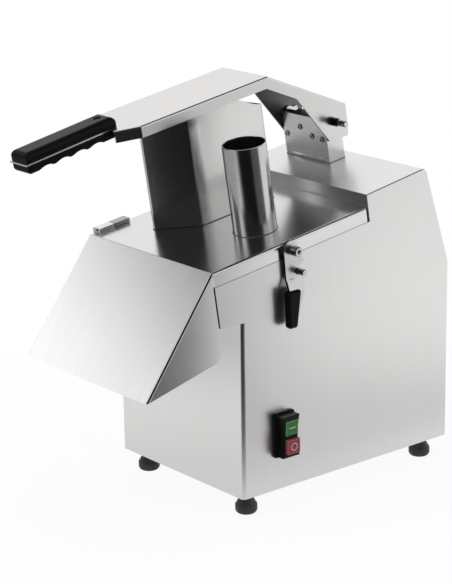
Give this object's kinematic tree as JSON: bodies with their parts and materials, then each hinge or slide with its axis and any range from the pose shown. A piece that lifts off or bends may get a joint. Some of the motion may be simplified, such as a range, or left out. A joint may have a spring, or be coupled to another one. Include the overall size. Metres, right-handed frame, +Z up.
{
  "type": "vegetable cutting machine",
  "caption": "Table-top stainless vegetable cutter: tilted deck with half-moon hopper, lever arm and pusher, round feed tube, discharge hood, belt-driven slicing disc and side latch.",
  "frame": {"origin": "on the worktop at the feet's soles, under the middle of the whole machine's bounding box", "axes": "+Z up, -Y the front where the hood drops the cut food, +X the side with the switch and the latch"},
  "size_m": [0.2656, 0.552, 0.5054],
  "materials": {
    "brushed_stainless": "satin, fine brushed grain",
    "polished_stainless": "polished",
    "hinge_steel": "satin",
    "turned_steel": "turned, semi-bright",
    "blade_steel": "ground",
    "screw_steel": "semi-bright",
    "bearing_steel": "ground",
    "cast_aluminium": "cast, fine grain",
    "pulley_aluminium": "machined",
    "foot_rubber": "matt",
    "belt_rubber": "matt",
    "grip_plastic": "fine grain",
    "switch_plastic": "fine grain",
    "start_green": "gloss",
    "stop_red": "gloss",
    "motor_paint": "satin paint",
    "capacitor_plastic": "matt"
  },
  "bodies": {
    "machine": {"body_shell": "brushed_stainless", "lid": "brushed_stainless", "hood": "brushed_stainless", "hopper": "brushed_stainless", "arm_bracket": "brushed_stainless", "rear_cover": "brushed_stainless", "base_plate": "brushed_stainless", "feed_tube": "polished_stainless", "hinge_front_lid": "polished_stainless", "hinge_rear_lid": "polished_stainless", "hinge_front_pin": "polished_stainless", "hinge_rear_pin": "polished_stainless", "hinge_front_body": "hinge_steel", "hinge_rear_body": "hinge_steel", "pivot_pin": "turned_steel", "latch_bolt": "turned_steel", "latch_stud": "turned_steel", "latch_washer": "turned_steel", "pivot_block": "turned_steel", "base_screws": "screw_steel", "rear_cover_screws": "screw_steel", "bracket_screws": "screw_steel", "bowl_bolts": "screw_steel", "upper_bearing": "bearing_steel", "lower_bearing": "bearing_steel", "bowl": "cast_aluminium", "bearing_housing": "cast_aluminium", "foot_front_left": "foot_rubber", "foot_front_right": "foot_rubber", "foot_rear_left": "foot_rubber", "foot_rear_right": "foot_rubber", "drive_belt": "belt_rubber", "switch_housing": "switch_plastic", "lid_switch": "switch_plastic", "cable_gland": "switch_plastic", "motor": "motor_paint", "motor_bracket": "motor_paint", "run_capacitor": "capacitor_plastic"},
    "arm": {"lever_arm": "brushed_stainless", "grip_upper": "grip_plastic", "grip_lower": "grip_plastic", "grip_screws": "screw_steel", "pusher_plate": "brushed_stainless", "pusher_stem": "brushed_stainless"},
    "latch": {"latch_lever": "brushed_stainless", "latch_grip": "grip_plastic"},
    "start": {"start_button": "start_green"},
    "stop": {"stop_button": "stop_red"},
    "rotor": {"drive_shaft": "turned_steel", "slicing_disc": "blade_steel", "disc_blade": "blade_steel", "blade_screws": "screw_steel", "ejector": "blade_steel", "large_pulley": "pulley_aluminium"},
    "motor_rotor": {"motor_shaft": "turned_steel", "motor_pulley": "pulley_aluminium"}
  },
  "joints": [
    {"name": "arm_pivot", "type": "hinge", "parent": "machine", "child": "arm", "pos_m": [-0.05475, 0.17105, 0.434], "axis": [-1, 0, 0], "range_deg": [0, 88]},
    {"name": "latch_turn", "type": "hinge", "parent": "machine", "child": "latch", "pos_m": [0.11125, -0.01231, 0.32609], "axis": [-1, 0, 0], "range_deg": [0, 110]},
    {"name": "start_press", "type": "slide", "parent": "machine", "child": "start", "axis": [-1, 0, 0], "range_m": [0, 0.003], "stiffness_N_per_m": 400},
    {"name": "stop_press", "type": "slide", "parent": "machine", "child": "stop", "axis": [-1, 0, 0], "range_m": [0, 0.003], "stiffness_N_per_m": 400},
    {"name": "disc_spin", "type": "hinge", "parent": "machine", "child": "rotor", "pos_m": [-0.00875, -0.00671, 0.33603], "axis": [0, -0.1478, 0.989], "continuous": true},
    {"name": "motor_spin", "type": "hinge", "parent": "machine", "child": "motor_rotor", "pos_m": [-0.00875, 0.1364, 0.35742], "axis": [0, -0.1478, 0.989], "continuous": true}
  ],
  "couplings": [
    {"joint": "motor_spin", "follows": "disc_spin", "ratio": 4}
  ]
}
